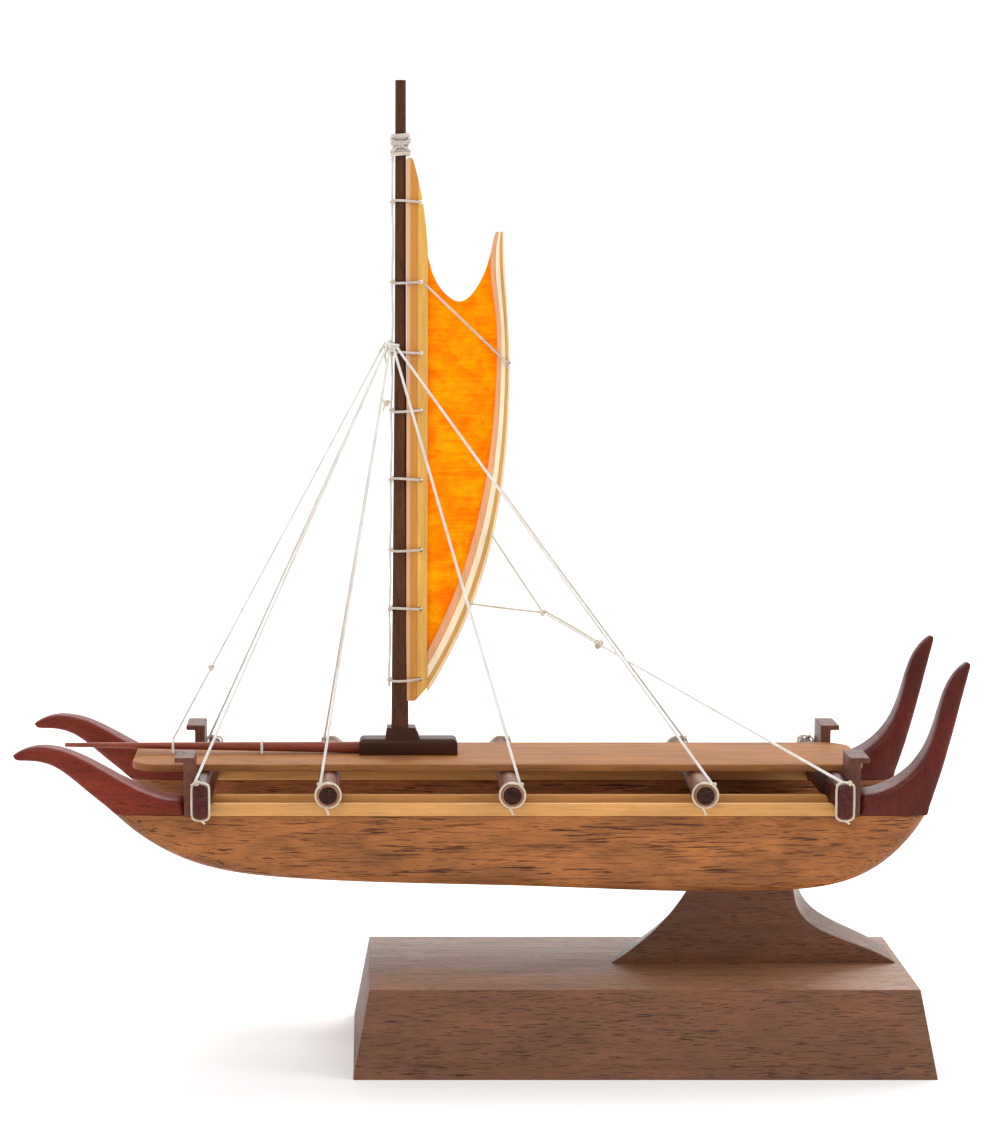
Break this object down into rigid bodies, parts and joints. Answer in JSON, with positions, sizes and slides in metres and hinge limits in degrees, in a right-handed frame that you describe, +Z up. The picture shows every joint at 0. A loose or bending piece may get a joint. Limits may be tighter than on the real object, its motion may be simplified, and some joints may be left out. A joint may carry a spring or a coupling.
{
  "type": "model sailing canoe",
  "caption": "Desk model of a double-hulled sailing canoe with a crab-claw sail on a turning spar, thread rigging and a wooden stand.",
  "frame": {"origin": "on the underside of the stand's base, under the middle of its length and under the centre plane between the hulls", "axes": "+X from bow to stern, +Y across from the near hull to the far hull, +Z up along the mast"},
  "size_m": [0.173, 0.0568, 0.1787],
  "materials": {
    "stand_walnut": "oiled",
    "dowel_wood": "sanded",
    "hull_koa": "oiled",
    "strip_maple": "oiled",
    "horn_redwood": "polished",
    "beam_walnut": "oiled",
    "end_beam_wood": "oiled",
    "hook_wood": "oiled",
    "deck_koa": "oiled",
    "mast_walnut": "oiled",
    "spar_bamboo": "oiled",
    "sail_veneer": "satin",
    "boom_salmon": "oiled",
    "boom_cream": "oiled",
    "boom_gold": "oiled",
    "thread": "twisted"
  },
  "bodies": {
    "canoe": {"base_dowels": "dowel_wood", "beam_lashings": "thread", "bolster": "stand_walnut", "bolster_dowels": "dowel_wood", "bow_piece_far": "horn_redwood", "bow_piece_near": "horn_redwood", "bowsprit": "horn_redwood", "bowsprit_ties": "thread", "cross_beam_1": "beam_walnut", "cross_beam_2": "beam_walnut", "cross_beam_3": "beam_walnut", "deck": "deck_koa", "end_beam_bow": "end_beam_wood", "end_beam_lashings": "thread", "end_beam_stern": "end_beam_wood", "forestay": "thread", "hook_bow_far": "hook_wood", "hook_bow_near": "hook_wood", "hook_stern_far": "hook_wood", "hook_stern_near": "hook_wood", "hull_far": "hull_koa", "hull_near": "hull_koa", "lacing_line": "thread", "mast": "mast_walnut", "mast_step": "mast_walnut", "masthead_lashing": "thread", "pedestal": "stand_walnut", "sheet": "thread", "shroud_1_far": "thread", "shroud_1_near": "thread", "shroud_2_far": "thread", "shroud_2_near": "thread", "shroud_3_far": "thread", "shroud_3_near": "thread", "shroud_4_far": "thread", "shroud_4_near": "thread", "shroud_knots": "thread", "stand_base": "stand_walnut", "stern_piece_far": "horn_redwood", "stern_piece_near": "horn_redwood", "strip_far_inner": "strip_maple", "strip_far_outer": "strip_maple", "strip_near_inner": "strip_maple", "strip_near_outer": "strip_maple"},
    "sail": {"luff_spar": "spar_bamboo", "sail": "sail_veneer", "boom_inner": "boom_salmon", "boom_cream": "boom_cream", "boom_core": "boom_gold", "boom_outer": "boom_cream", "robands": "thread", "brace_line": "thread", "bridle": "thread"}
  },
  "joints": [
    {"name": "sail_swing", "type": "hinge", "parent": "canoe", "child": "sail", "pos_m": [-0.0438, 0, 0.1], "axis": [0, 0, 1], "range_deg": [-20, 0], "deforming": ["sheet"]}
  ]
}
